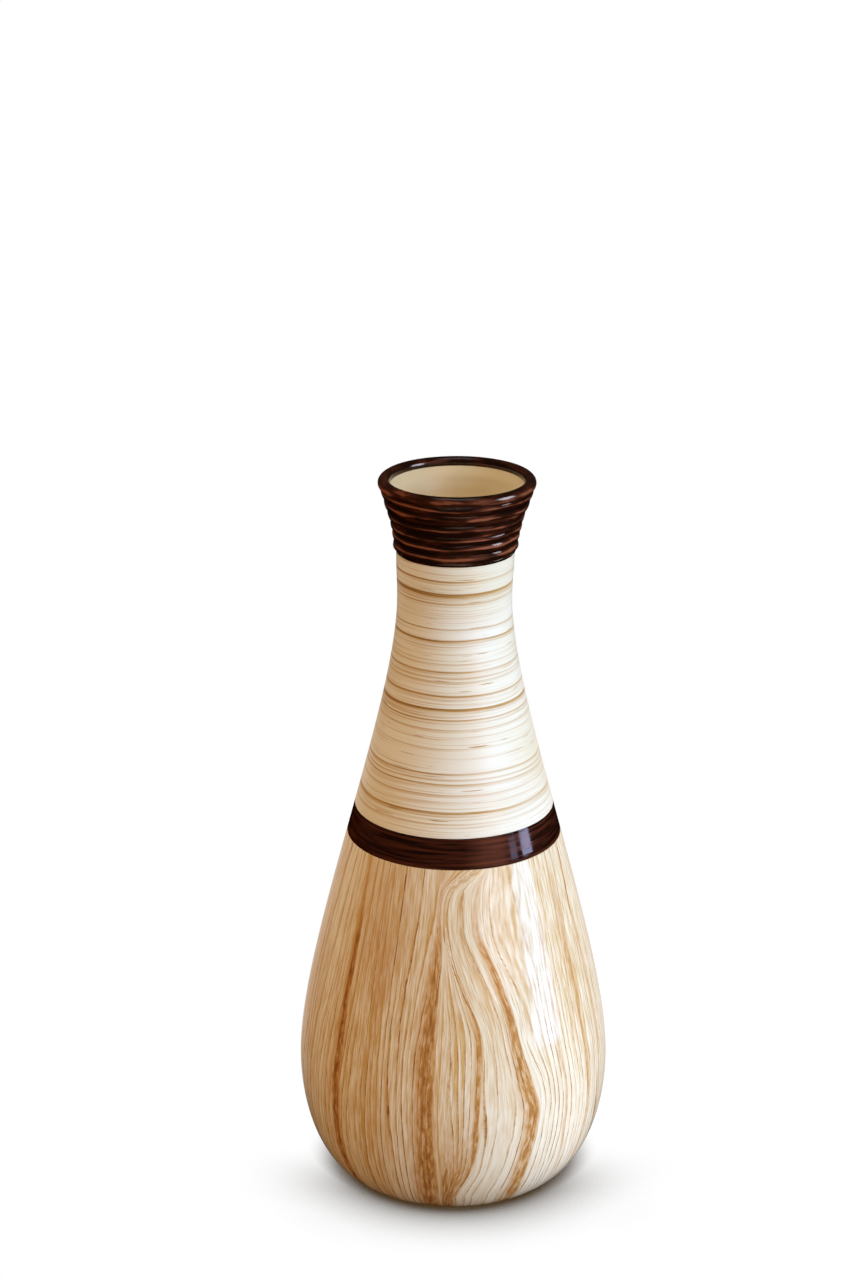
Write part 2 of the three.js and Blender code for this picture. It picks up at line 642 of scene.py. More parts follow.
@dataclass(frozen=True)
class RingNodes:
    """Sockets of the growth rings.

    They are the share of its ring that lies left of a place, three chances that differ from ring to
    ring, and how much of the ring is kept.
    """

    share: Socket
    depth: Socket
    weight: Socket
    stain: Socket
    kept: Socket


@dataclass(frozen=True)
class WoodGrainGlaze:
    """Stoneware with a brushed wood-grain slip under a clear gloss glaze.

    To the eye it is cream and tan growth rings, each with a thin beaded line on its right edge, and a
    few mottled brown streaks, under an even, wet-looking gloss. How far the rings wander is counted in
    rings, the edges of a streak in its widths, and the sides, the stain, the sway and the raggedness
    in degrees of the grain map.
    """

    belly: float
    cream: str = "#f8eedc"
    tan: str = "#d2a868"
    gold: str = "#cc9759"
    brown: str = "#965a27"
    bead: str = "#7e4c1c"
    roughness: float = 0.12
    ior: float = 1.55
    relief: float = 0.01
    rings: int = 144
    ring_wander: float = 3.2
    ring_unevenness: float = 1.6
    ring_wave: float = 0.3
    line_share: Point = (0.76, 0.93)
    thinning: Point = (58.0, 104.0)
    crowded: Point = (1.6, 4.5)
    drawn_out: Point = (0.3, 0.8)
    tinted: Point = (0.3, 0.9)
    # the lit right side and the foot are drawn paler, partly the slip's own tone and partly painted light
    lit_side_start: Point = (-6.0, 16.0)
    lit_side_end: Point = (100.0, 170.0)
    pale_lit_foot: float = 0.45
    pale_heights: Point = (30.0, 85.0)
    fade_heights: Point = (98.0, 114.0)
    stain_heights: Point = (46.0, 12.0)
    stain_left: Point = (-6.0, -2.0)
    stain_right: Point = (8.0, 13.0)
    ragged: float = 1.8
    sway: float = 1.6
    soft_edge: Point = (-1.6, -0.1)
    crisp_edge: Point = (0.35, 0.95)
    streaks: tuple[Streak, ...] = (
        Streak(-33.0, 0.01, 14.0, 0.4, (64.0, 110.0)),
        Streak(-48.5, 2.6, 1.7, 0.95),
        Streak(-10.6, 5.0, 5.0, 0.86),
        Streak(2.0, 0.01, 8.0, 1.0, (101.0, 108.0)),
        Streak(9.6, 1.6, 0.5, 0.75),
        Streak(29.7, 3.4, 2.0, 0.74),
        Streak(46.0, 0.9, 0.8, 0.45),
        Streak(58.5, 0.8, 1.9, 0.5),
        Streak(69.0, 1.4, 1.6, 0.4),
        Streak(-76.0, 1.2, 1.0, 0.6),
        Streak(-104.0, 3.6, 1.6, 0.85),
        Streak(-131.0, 1.4, 1.2, 0.65),
        Streak(-158.0, 2.8, 2.0, 0.85),
        Streak(96.0, 1.6, 1.1, 0.7),
        Streak(122.0, 4.0, 1.8, 0.9),
        Streak(147.0, 1.3, 1.0, 0.65),
        Streak(169.0, 2.2, 1.5, 0.75),
    )

    def growth_rings(self, grain: GrainNodes) -> RingNodes:
        """Numbers the rings round the bulb, which wander, wave and differ in width.

        Every other ring fades out towards the top, where the bulb narrows, and all of them fade where
        they crowd or are drawn out.

        Args:
            grain: The material's grain map.

        Returns:
            The rings.
        """
        bench = grain.bench
        wander = grain.noise(pitch=17.0, run=120.0, detail=0.0)
        wander = bench.add(Kind.RANGE, [wander, 0.0, 1.0, -self.ring_wander, self.ring_wander])
        count = bench.add(Kind.MATH, [grain.turn, self.rings, wander], operation="MULTIPLY_ADD")
        uneven = grain.noise(pitch=5.0, run=110.0, detail=0.0)
        count = bench.add(Kind.MATH, [uneven, self.ring_unevenness, count], operation="MULTIPLY_ADD")
        wave = grain.noise(pitch=10.0, run=9.0, detail=1.0)
        count = bench.add(Kind.MATH, [wave, self.ring_wave, count], operation="MULTIPLY_ADD")
        share = bench.add(Kind.MATH, [count], operation="FRACT")
        ring = bench.add(Kind.MATH, [count], operation="FLOOR")
        ring = bench.add(Kind.MATH, [ring, self.rings, 0.0], operation="WRAP")
        chance = bench.add(Kind.HASH, {"W": ring}, out="Color", noise_dimensions="1D")
        depth, weight, stain = [bench.add(Kind.SPLIT, [chance], out=axis) for axis in "XYZ"]

        odd = bench.add(Kind.MATH, [ring, 2.0], operation="MODULO")
        thin = bench.add(Kind.RANGE, [grain.rise, *grain.heights(self.thinning), 0.0, 1.0], **SMOOTH)
        thinned = bench.add(Kind.MATH, [odd, thin], operation="MULTIPLY")
        kept = bench.add(Kind.MATH, [1.0, thinned], operation="SUBTRACT")
        room = bench.add(Kind.RANGE, [grain.crowd, *self.crowded, 1.0, 0.15])
        body = bench.add(Kind.RANGE, [grain.crowd, *self.drawn_out, 0.3, 1.0])
        for factor in (room, body):
            kept = bench.add(Kind.MATH, [kept, factor], operation="MULTIPLY")
        return RingNodes(share, depth, weight, stain, kept)

    def ground(self, grain: GrainNodes, rings: RingNodes) -> Socket:
        """Shades cream to tan across each ring, less so on the lit right and at the foot.
        That paling is partly the slip's own tone and partly painted window light and table bounce.

        Args:
            grain: The material's grain map.
            rings: The growth rings.

        Returns:
            The colour under the slip.
        """
        bench = grain.bench
        # Painted light in part: the lit right side gets fainter broad tone and ring shading, besides the
        # slip's own paler tone there.
        right = bench.add(Kind.RANGE, [grain.degrees, *self.lit_side_start, 0.0, 1.0])
        front = bench.add(Kind.RANGE, [grain.degrees, *self.lit_side_end, 1.0, 0.0])
        side = bench.add(Kind.MATH, [right, front], operation="MINIMUM")
        broad = grain.noise(pitch=15.0, run=140.0, detail=1.0)
        broad = bench.add(Kind.RANGE, [broad, 0.35, 0.7, 0.0, 0.45])
        fainter = bench.add(Kind.RANGE, [side, 0.0, 1.0, 1.0, 0.65])
        broad = bench.add(Kind.MATH, [broad, fainter], operation="MULTIPLY")

        shade = bench.add(Kind.MATH, [rings.share, 1.8], operation="POWER")
        deep = bench.add(Kind.RANGE, [rings.depth, 0.0, 1.0, 0.1, 0.95])
        shade = bench.add(Kind.MATH, [shade, deep], operation="MULTIPLY")
        stain = bench.add(Kind.RANGE, [rings.stain, 0.5, 1.0, 0.0, 0.35])
        stained = bench.add(Kind.RANGE, [rings.share, 0.0, 0.45, 0.0, 1.0], **SMOOTH)
        shade = bench.add(Kind.MATH, [stain, stained, shade], operation="MULTIPLY_ADD")
        plain = bench.add(Kind.RANGE, [side, 0.0, 1.0, 1.0, 0.45])
        for factor in (rings.kept, plain):
            shade = bench.add(Kind.MATH, [shade, factor], operation="MULTIPLY")

        fibre = grain.noise(pitch=0.55, run=8.0, detail=2.0)
        fibre = bench.add(Kind.RANGE, [fibre, 0.34, 0.68, -0.2, 0.58])
        tint = bench.add(Kind.RANGE, [grain.crowd, *self.tinted, 0.3, 0.0])
        tone = broad
        for layer in (shade, fibre, tint):
            tone = bench.add(Kind.MATH, [tone, layer], operation="ADD")
        # Painted light in part: the foot is drawn paler, most on the right where the table's bounce falls,
        # besides the slip's own tone.
        heights = grain.heights(self.pale_heights)
        paler = bench.add(Kind.RANGE, [grain.rise, *heights, self.pale_lit_foot - 1, 0.0])
        sides = bench.add(Kind.RANGE, [side, 0.0, 1.0, 0.25, 1.0])
        paler = bench.add(Kind.MATH, [paler, sides, 1.0], operation="MULTIPLY_ADD")
        tone = bench.add(Kind.MATH, [tone, paler], operation="MULTIPLY")
        return bench.add(Kind.MIX, {"Factor": tone, "A": self.cream, "B": self.tan}, **IN_COLOUR)

    def brown_slip(self, grain: GrainNodes) -> Socket:
        """Draws the mottled streaks, and the stain where the lines draw together at the foot.

        A streak is softer on the left than on the right, and fades towards the band.

        Args:
            grain: The material's grain map.

        Returns:
            How much slip there is, from 0 to about 1.
        """
        bench = grain.bench
        ragged = grain.noise(pitch=2.2, run=16.0, detail=3.0)
        shifted = bench.add(Kind.MATH, [ragged, self.ragged, grain.degrees], operation="MULTIPLY_ADD")
        sway = grain.noise(pitch=9.0, run=22.0, detail=0.0)
        sway = bench.add(Kind.RANGE, [sway, 0.0, 1.0, -self.sway, self.sway])
        shifted = bench.add(Kind.MATH, [shifted, sway], operation="ADD")
        brown: Value = 0.0
        for streak in self.streaks:
            span = [*grain.heights(streak.heights), streak.low_width, streak.high_width]
            width = bench.add(Kind.RANGE, [grain.rise, *span], **SMOOTH)
            away = bench.add(Kind.MATH, [shifted, streak.place + self.ragged / 2], operation="SUBTRACT")
            away = bench.add(Kind.MATH, [away, width], operation="DIVIDE")
            soft = bench.add(Kind.RANGE, [away, *self.soft_edge, 0.0, streak.depth], **SMOOTH)
            crisp = bench.add(Kind.RANGE, [away, *self.crisp_edge, 1.0, 0.0], **SMOOTH)
            drawn = bench.add(Kind.MATH, [soft, crisp], operation="MULTIPLY")
            brown = bench.add(Kind.MATH, [brown, drawn], operation="MAXIMUM")
        fade = bench.add(Kind.RANGE, [grain.rise, *grain.heights(self.fade_heights), 1.0, 0.4])
        brown = bench.add(Kind.MATH, [brown, fade], operation="MULTIPLY")

        foot = bench.add(Kind.RANGE, [grain.rise, *grain.heights(self.stain_heights), 0.0, 0.85])
        start = bench.add(Kind.RANGE, [shifted, *self.stain_left, 0.0, 1.0])
        end = bench.add(Kind.RANGE, [shifted, *self.stain_right, 1.0, 0.0])
        for factor in (start, end):
            foot = bench.add(Kind.MATH, [foot, factor], operation="MULTIPLY")
        brown = bench.add(Kind.MATH, [brown, foot], operation="MAXIMUM")
        mottle = grain.noise(pitch=1.1, run=4.0, detail=3.0)
        mottle = bench.add(Kind.RANGE, [mottle, 0.3, 0.65, 0.4, 1.08])
        return bench.add(Kind.MATH, [brown, mottle], operation="MULTIPLY")

    def ring_lines(self, grain: GrainNodes, rings: RingNodes) -> Socket:
        """Draws the line on each ring's right edge, which breaks into dashes.

        Args:
            grain: The material's grain map.
            rings: The growth rings.

        Returns:
            How strong the line is, from 0 to 1.
        """
        bench = grain.bench
        lines = bench.add(Kind.RANGE, [rings.share, *self.line_share, 0.0, 1.0], **SMOOTH)
        strong = bench.add(Kind.RANGE, [rings.weight, 0.0, 1.0, 0.2, 1.0])
        dash = grain.noise(pitch=1.6, run=6.0, detail=2.0)
        dash = bench.add(Kind.RANGE, [dash, 0.36, 0.6, 0.25, 1.0])
        for factor in (strong, rings.kept, dash):
            lines = bench.add(Kind.MATH, [lines, factor], operation="MULTIPLY")
        return lines

    def material(self) -> bpy.types.Material:
        """Builds the material on the bulb's grain map, with beads of thicker slip along the lines.

        Returns:
            The material.
        """
        material = bpy.data.materials.new("wood_grain_glazed_stoneware")
        bench = NodeBench(material)
        grain = GrainNodes(bench, self.belly)
        rings = self.growth_rings(grain)
        brown = self.brown_slip(grain)
        lines = self.ring_lines(grain, rings)
        bare = bench.add(Kind.MATH, [1.0, brown], operation="SUBTRACT")
        slip = bench.add(Kind.MATH, [lines, bare, brown], operation="MULTIPLY_ADD")
        colour = iron_slip(bench, self.ground(grain, rings), slip, self.gold, self.brown)
        beads = grain.noise(pitch=0.8, run=1.4, detail=1.0)
        beads = bench.add(Kind.RANGE, [beads, 0.45, 0.62, 0.0, 0.85])
        beads = bench.add(Kind.MATH, [beads, lines], operation="MULTIPLY")
        colour = bench.add(Kind.MIX, {"Factor": beads, "A": colour, "B": self.bead}, **IN_COLOUR)
        height = bench.add(Kind.MATH, [1.0, lines], operation="SUBTRACT")
        glaze(bench, colour, self.roughness, height, self.relief, self.ior)
        return material


@dataclass(frozen=True)
class WoundLine:
    """One drawn line round the neck: the height of its crisp upper edge, its width and its strength."""

    height: float
    width: float
    depth: float


@dataclass(frozen=True)
class WoundLineGlaze:
    """Cream slip with thin brown lines drawn round it on the wheel, under a soft gloss glaze.

    To the eye it is like wound split cane: lines with a crisp upper edge that swell, fade and break on
    their way round, and faint finer ones between them. How far a line's core, spread and tail reach is
    counted in its widths.
    """

    cream: str = "#f5efe4"
    shade: str = "#e9dabd"
    gold: str = "#c9a064"
    brown: str = "#98672f"
    roughness: float = 0.3
    ior: float = 1.5
    relief: float = 0.03
    sway: float = 0.7
    crisp_edge: Point = (-0.06, 0.06)
    core: float = 0.5
    core_edge: float = 0.15
    spread: float = 1.7
    tail: float = 3.0
    # painted glare: where the strokes fade on the right, in millimetres
    glare_side: Point = (-10.0, 16.0)
    slow_marks: Point = (36.0, 18.0)
    swell_marks: Point = (24.0, 0.5)
    brush_marks: Point = (42.0, 0.42)
    dash_marks: Point = (14.0, 0.4)
    lines: tuple[WoundLine, ...] = (
        WoundLine(220.4, 0.8, 0.8),
        WoundLine(216.0, 2.2, 0.95),
        WoundLine(212.4, 0.6, 0.6),
        WoundLine(203.6, 0.6, 0.65),
        WoundLine(199.8, 1.1, 0.85),
        WoundLine(192.2, 0.5, 0.5),
        WoundLine(189.7, 0.7, 0.8),
        WoundLine(187.6, 0.6, 0.6),
        WoundLine(186.4, 0.5, 0.5),
        WoundLine(181.8, 0.9, 0.8),
        WoundLine(177.5, 1.7, 0.95),
        WoundLine(174.0, 0.8, 0.7),
        WoundLine(172.9, 0.5, 0.5),
        WoundLine(170.9, 0.6, 0.6),
        WoundLine(164.8, 0.5, 0.4),
        WoundLine(156.6, 0.7, 0.75),
        WoundLine(154.6, 0.6, 0.6),
        WoundLine(153.2, 0.7, 0.65),
        WoundLine(149.8, 0.5, 0.55),
        WoundLine(144.4, 1.3, 0.85),
        WoundLine(140.7, 0.5, 0.5),
    )

    def drawn_lines(self, bench: NodeBench, place: Socket) -> tuple[Socket, Socket]:
        """Draws the lines, crisp above and soft below.

        Args:
            bench: The material's nodes.
            place: Place on the neck, in millimetres.

        Returns:
            The lines, and the zones under them where finer ones gather.
        """
        height = bench.add(Kind.SPLIT, [place], out="Z")
        drawn: Value = 0.0
        near: Value = 0.0
        for line in self.lines:
            down = bench.add(Kind.MATH, [line.height, height], operation="SUBTRACT")
            crisp = bench.add(Kind.RANGE, [down, *self.crisp_edge, 0.0, line.depth])
            end = line.width * self.core
            core = bench.add(Kind.RANGE, [down, end, end + self.core_edge, 1.0, 0.4])
            soft = bench.add(Kind.RANGE, [down, end, line.width * self.spread, 1.0, 0.0], **SMOOTH)
            stroke = bench.add(Kind.MATH, [crisp, soft], operation="MULTIPLY")
            stroke = bench.add(Kind.MATH, [stroke, core], operation="MULTIPLY")
            drawn = bench.add(Kind.MATH, [drawn, stroke], operation="MAXIMUM")
            tail = bench.add(Kind.RANGE, [down, end, line.width * self.tail, 1.0, 0.0])
            tail = bench.add(Kind.MATH, [tail, crisp], operation="MULTIPLY")
            near = bench.add(Kind.MATH, [near, tail], operation="MAXIMUM")
        swell = stretched_noise(bench, place, self.swell_marks, detail=2.0)
        swell = bench.add(Kind.RANGE, [swell, 0.3, 0.55, 0.5, 1.0])
        return bench.add(Kind.MATH, [drawn, swell], operation="MULTIPLY"), near

    def fine_lines(self, bench: NodeBench, place: Socket, near: Socket) -> Socket:
        """Draws faint brush lines in the slip, and short dark dashes.

        Args:
            bench: The material's nodes.
            place: Place on the neck, in millimetres.
            near: Zones where the brush lines gather.

        Returns:
            How strong they are, from 0 to 1.
        """
        brush = stretched_noise(bench, place, self.brush_marks, detail=2.0)
        fine = bench.add(Kind.RANGE, [brush, 0.52, 0.74, 0.0, 0.45])
        group = bench.add(Kind.RANGE, [brush, 0.45, 0.6, 0.0, 0.75])
        group = bench.add(Kind.MATH, [group, near], operation="MULTIPLY")
        dash = stretched_noise(bench, place, self.dash_marks, detail=1.0)
        dash = bench.add(Kind.RANGE, [dash, 0.69, 0.76, 0.0, 0.9])
        for layer in (group, dash):
            fine = bench.add(Kind.MATH, [fine, layer], operation="MAXIMUM")
        return fine

    def material(self) -> bpy.types.Material:
        """Builds the material on the neck's own coordinates, which sway, so that no line is a circle.

        Returns:
            The material.
        """
        material = bpy.data.materials.new("cream_slip_with_wound_lines")
        bench = NodeBench(material)
        place = millimetres(bench)
        slow = stretched_noise(bench, place, self.slow_marks, detail=1.0)
        sway = bench.add(Kind.RANGE, [slow, 0.0, 1.0, -self.sway, self.sway])
        lift = bench.add(Kind.JOIN, [0.0, 0.0, sway])
        place = bench.add(Kind.VECTOR, [place, lift], operation="ADD")
        drawn, near = self.drawn_lines(bench, place)
        fine = self.fine_lines(bench, place, near)
        strokes = bench.add(Kind.MATH, [drawn, fine], operation="MAXIMUM")
        # Painted glare: the strokes are drawn fainter on the right, where the window's light falls.
        right = bench.add(Kind.SPLIT, [place], out="X")
        glare_fade = bench.add(Kind.RANGE, [right, *self.glare_side, 1.0, 0.65], **SMOOTH)
        strokes = bench.add(Kind.MATH, [strokes, glare_fade], operation="MULTIPLY")
        wash = bench.add(Kind.RANGE, [slow, 0.35, 0.7, 0.0, 0.7])
        colour = bench.add(Kind.MIX, {"Factor": wash, "A": self.cream, "B": self.shade}, **IN_COLOUR)
        colour = iron_slip(bench, colour, strokes, self.gold, self.brown)
        height = bench.add(Kind.MATH, [1.0, strokes], operation="SUBTRACT")
        glaze(bench, colour, self.roughness, height, self.relief, self.ior)
        return material


@dataclass(frozen=True)
class DarkBandGlaze:
    """Iron-brown slip brushed round in a channel, under a thick clear glaze.

    To the eye it is nearly black with reddish brush streaks, and the gloss is like a mirror.
    """

    dark: str = "#1a0805"
    streak: str = "#4f2415"
    smooth: float = 0.06
    rough: float = 0.17
    ior: float = 1.5
    relief: float = 0.04
    brush_marks: Point = (20.0, 0.8)

    def material(self) -> bpy.types.Material:
        """Builds the material on the band's own coordinates.

        Returns:
            The material.
        """
        material = bpy.data.materials.new("dark_iron_glazed_stoneware")
        bench = NodeBench(material)
        brush = stretched_noise(bench, millimetres(bench), self.brush_marks, detail=3.0)
        streaks = bench.add(Kind.RANGE, [brush, 0.4, 0.72, 0.0, 1.0])
        gloss = bench.add(Kind.RANGE, [brush, 0.4, 0.7, self.smooth, self.rough])
        colour = bench.add(Kind.MIX, {"Factor": streaks, "A": self.dark, "B": self.streak}, **IN_COLOUR)
        glaze(bench, colour, gloss, brush, self.relief, self.ior)
        return material


@dataclass(frozen=True)
class BrownCoilGlaze:
    """Chocolate iron glaze over the coils and the lip.

    To the eye it is dark in the grooves and on the lower halves of the coils, partly pooled glaze and
    partly painted shade, and breaks to a warm red brown on their upper slopes, partly thin glaze and
    partly painted top light and highlight.
    """

    pooled_and_shaded: str = "#1c0a05"
    body: str = "#3a190d"
    thin: str = "#8c5138"
    roughness: float = 0.14
    ior: float = 1.5
    relief: float = 0.1
    brush_marks: Point = (8.0, 1.2)
    brush_share: float = 1.3
    run_marks: Point = (13.0, 2.4)
    run_share: float = 1.5

    def material(self) -> bpy.types.Material:
        """Builds the material on the coils' crest attribute and own coordinates.

        Returns:
            The material.
        """
        material = bpy.data.materials.new("chocolate_iron_glaze")
        bench = NodeBench(material)
        crest = bench.add(Kind.ATTRIBUTE, out="Fac", attribute_name=CREST)
        place = millimetres(bench)
        brush = stretched_noise(bench, place, self.brush_marks, detail=3.0)
        runs = stretched_noise(bench, place, self.run_marks, detail=2.0)
        runs = bench.add(Kind.RANGE, [runs, 0.0, 1.0, -self.run_share, self.run_share])
        uneven = bench.add(Kind.MATH, [brush, self.brush_share, crest], operation="MULTIPLY_ADD")
        uneven = bench.add(Kind.MATH, [uneven, runs], operation="ADD")
        # Painted shade and top light in part: the grooves and lower halves are drawn dark and the upper
        # slopes red brown.
        pooling_and_shade = bench.add(Kind.RANGE, [uneven, 0.62, 1.15, 0.0, 1.0])
        colour = bench.add(Kind.MIX, {"Factor": pooling_and_shade, "A": self.pooled_and_shaded, "B": self.body}, **IN_COLOUR)
        breaking_and_lit = bench.add(Kind.RANGE, [uneven, 1.25, 1.75, 0.0, 0.95])
        colour = bench.add(Kind.MIX, {"Factor": breaking_and_lit, "A": colour, "B": self.thin}, **IN_COLOUR)
        glaze(bench, colour, self.roughness, brush, self.relief, self.ior)
        return material


@dataclass(frozen=True)
class LiningGlaze:
    """Plain cream glaze poured out of the inside.

    To the eye it is even and satin, with the faint rings that the thrower's fingers left.
    """

    cream: str = "#e4d8bd"
    ring: str = "#d6c7a6"
    roughness: float = 0.3
    ior: float = 1.5
    relief: float = 0.15
    finger_marks: Point = (40.0, 2.2)

    def material(self) -> bpy.types.Material:
        """Builds the material on the lining's own coordinates.

        Returns:
            The material.
        """
        material = bpy.data.materials.new("poured_cream_glaze")
        bench = NodeBench(material)
        rings = stretched_noise(bench, millimetres(bench), self.finger_marks, detail=2.0)
        colour = bench.add(Kind.MIX, {"Factor": rings, "A": self.cream, "B": self.ring}, **IN_COLOUR)
        glaze(bench, colour, self.roughness, rings, self.relief, self.ior)
        return material


@dataclass(frozen=True)
class BareClay:
    """Unglazed stoneware under the foot.

    To the eye it is matt buff clay with fine dark grog, where the glaze was wiped off for firing.
    """

    clay: str = "#c9ae8b"
    grog: str = "#8d7152"
    roughness: float = 0.85
    ior: float = 1.5
    relief: float = 0.12
    grit: float = 0.7

    def material(self) -> bpy.types.Material:
        """Builds the material on the foot's own coordinates.

        Returns:
            The material.
        """
        material = bpy.data.materials.new("bare_stoneware_foot")
        bench = NodeBench(material)
        grit = stretched_noise(bench, millimetres(bench), (self.grit, self.grit), detail=3.0)
        specks = bench.add(Kind.RANGE, [grit, 0.5, 0.75, 0.0, 1.0])
        colour = bench.add(Kind.MIX, {"Factor": specks, "A": self.clay, "B": self.grog}, **IN_COLOUR)
        glaze(bench, colour, self.roughness, grit, self.relief, self.ior)
        return material


# Pieces


@dataclass(frozen=True)
class GuideLine:
    """One line of the bulb's grain: its angle at the belly, and the heights and angles that it passes."""

    grain: float
    path: tuple[Point, ...]

    def at(self, height: float) -> float:
        """Follows a smooth curve through the line's places.

        Args:
            height: Height in millimetres.

        Returns:
            The line's angle there, in degrees.
        """
        path = self.path
        last = len(path) - 1
        if height <= path[0][0] or height >= path[last][0]:
            return path[0][1] if height <= path[0][0] else path[last][1]
        after = next(number for number, place in enumerate(path) if place[0] >= height)
        (low, start), (high, end) = path[after - 1], path[after]
        before, beyond = path[max(after - 2, 0)], path[min(after + 1, last)]
        leave = (end - before[1]) / (high - before[0]) * (high - low)
        arrive = (beyond[1] - start) / (beyond[0] - low) * (high - low)
        share = (height - low) / (high - low)
        rest = 1 - share
        ends = (1 + 2 * share) * rest**2 * start + (1 + 2 * rest) * share**2 * end
        return ends + share * rest**2 * leave - rest * share**2 * arrive


@dataclass(frozen=True)
class GrainFlow:
    """How the grain of the bulb leans away from upright, in degrees and millimetres.

    The guide lines are, from left to right, an upright one, the two edges of the centre streak, the
    streak that parts from it, the long curved streak, two lines beside that and an upright one.
    Under the band the lines right of the seam draw together, and leave a plain patch on its left.
    Away from the guide lines the grain wanders, and more so on the back.
    """

    wander: float = 2.2
    back_wander: float = 5.0
    back_cosines: Point = (-0.2, -0.9)
    steady_left: Point = (-32.0, -16.0)
    steady_right: Point = (65.0, 45.0)
    least_gap: float = 0.3
    guides: tuple[GuideLine, ...] = (
        GuideLine(-40, ((0, -40), (127, -40))),
        GuideLine(-14, ((12, -14.6), (50, -14), (64, -13.4), (84, -11.2), (107, -8.6), (127, -8.2))),
        GuideLine(
            -6.5,
            (
                *((10, -6), (32, -6.7), (64, -6.6), (84, -5.9), (98, -5.2), (112, -5.6)),
                *((119, -3.6), (122, 2), (124, 8), (126.5, 15)),
            ),
        ),
        GuideLine(
            10,
            (
                *((10, -1), (22, 5), (32, 7), (52, 9), (64, 10), (74, 8.7), (84, 4), (92, 0.3)),
                *((98, -2), (107, -4.4), (112, -4.7), (119, -2.6), (122, 3), (124, 9), (126.5, 16)),
            ),
        ),
        GuideLine(
            29,
            (
                *((10, 24), (26, 27), (43, 29.3), (55, 26.4), (67, 23.5), (80, 21), (92, 16.5)),
                *((103, 10.2), (111, 8.8), (117, 9.6), (122, 12), (126.5, 17)),
            ),
        ),
        GuideLine(
            36,
            (
                *((10, 35), (37, 35.3), (45, 36), (54, 34.5), (61, 31.5), (69, 28.8), (80, 27)),
                *((91, 23), (100, 19), (110, 17.7), (126.5, 20)),
            ),
        ),
        GuideLine(42, ((10, 41), (45, 42), (68, 38.5), (100, 37.5), (127, 37))),
        GuideLine(64, ((0, 64), (127, 64))),
    )

    def line(self, degrees: float, height: float) -> Point:
        """Finds the grain line through a place between the guide lines.

        Args:
            degrees: Angle round the axis.
            height: Height in millimetres.

        Returns:
            The line's angle at the belly, and how many times closer than upright the lines lie.
        """
        left = self.guides[0]
        start = left.at(height)
        if degrees <= start:
            return degrees, 1.0
        for right in self.guides[1:]:
            end = max(right.at(height), start + self.least_gap)
            if degrees <= end:
                crowding = (right.grain - left.grain) / (end - start)
                return left.grain + (degrees - start) * crowding, crowding
            left, start = right, end
        return degrees, 1.0

    def angle(self, turn: float, height: float) -> Point:
        """Finds the grain line through a place on the vase.

        Args:
            turn: Angle round the axis, in radians.
            height: Height in millimetres.

        Returns:
            The line's angle at the belly in radians, and how many times closer than upright the lines lie.
        """
        degrees = math.degrees(turn)
        back = ease(*self.back_cosines, math.cos(turn))
        steady = ease(*self.steady_left, degrees) * ease(*self.steady_right, degrees)
        wander = (self.wander + self.back_wander * back) * (1 - steady)
        strayed = degrees + wander * ripple(turn, height, waves=1.6, run=55.0, seed=3.1)
        grain, crowding = self.line(strayed, height)
        return math.radians(grain), crowding


@dataclass
class Bulb:
    """The thrown bulb, with its foot ring and the spigot that the neck sits on."""

    outline: Outline
    foot_ring: float = 6.0
    recess: float = 2.0
    recess_reach: float = 0.1
    floor: float = 5.0
    foot_round: float = 0.9
    bare_height: float = 0.45
    outer_rows: int = 100
    columns: int = 320
    inner_rows: int = 30
    flow: GrainFlow = field(default_factory=GrainFlow)

    def section(self) -> list[Point]:
        """Draws the section from the axis under the foot, round the outside and back to the axis inside.

        Returns:
            Radius and height of its points.
        """
        outside = self.outline.curve(steps=self.outer_rows)
        inside_floor = self.recess + self.floor
        inside = self.outline.curve(WALL, WALL, inside_floor, self.inner_rows)
        joint = self.outline.joint
        hollow = self.outline.foot - self.foot_ring
        return [
            (0.0, self.recess),
            (hollow - self.recess, self.recess),
            (hollow, 0.0),
            *between(outside, 0.0, self.outline.band_low),
            *between(outside, self.outline.band_low, joint, -BAND_DEPTH),
            *between(inside, joint, joint + SPIGOT, SPIGOT_WALL),
            *reversed(between(inside, inside_floor, joint + SPIGOT)),
            (0.0, inside_floor),
        ]

    def draw_grain(self, mesh: bmesh.types.BMesh) -> None:
        """Writes the grain map, turns of the grain line and height in belly radii, and the crowding.

        Args:
            mesh: The bulb's mesh.
        """
        layer = mesh.loops.layers.uv.new(GRAIN_MAP)
        crowds = mesh.verts.layers.float.new(CROWDING)
        mesh.verts.index_update()
        grains: list[float] = []
        for vert in mesh.verts:
            grain, vert[crowds] = self.flow.angle(angle_of(vert.co), vert.co.z / MM)
            grains.append(grain)
        for face in mesh.faces:
            middle = angle_of(face.calc_center_median())
            for loop in face.loops:
                place = loop.vert.co
                turn = angle_of(place)
                grain = grains[loop.vert.index] if place.xy.length > MM else middle
                grain += math.tau * round((middle - turn) / math.tau)
                loop[layer].uv = (grain / math.tau, place.z / MM / self.outline.belly)

    def build(self) -> bpy.types.Object:
        """Builds the bulb and dresses it, bare under the foot.

        Returns:
            The finished bulb.
        """
        turned = Turned(self.section(), steps=self.columns)
        outside = self.outline.curve(steps=self.outer_rows)
        rim = (radius_at(outside, self.outline.band_low), self.outline.band_low)
        turned.round_edges([rim], RIM_ROUND)
        foot = self.outline.foot
        turned.round_edges([(foot, 0.0), (foot - self.foot_ring, 0.0)], self.foot_round)
        self.draw_grain(turned.mesh)
        recess_top = (self.recess + self.recess_reach) * MM
        for face in turned.mesh.faces:
            underside = max(vert.co.z for vert in face.verts) <= self.bare_height * MM
            recess = face.normal.z < FACING_DOWN and face.calc_center_median().z < recess_top
            face.material_index = int(underside or recess)
        finishes = [WoodGrainGlaze(self.outline.belly).material(), BareClay().material()]
        return turned.finish("bulb", finishes, "lower_body")


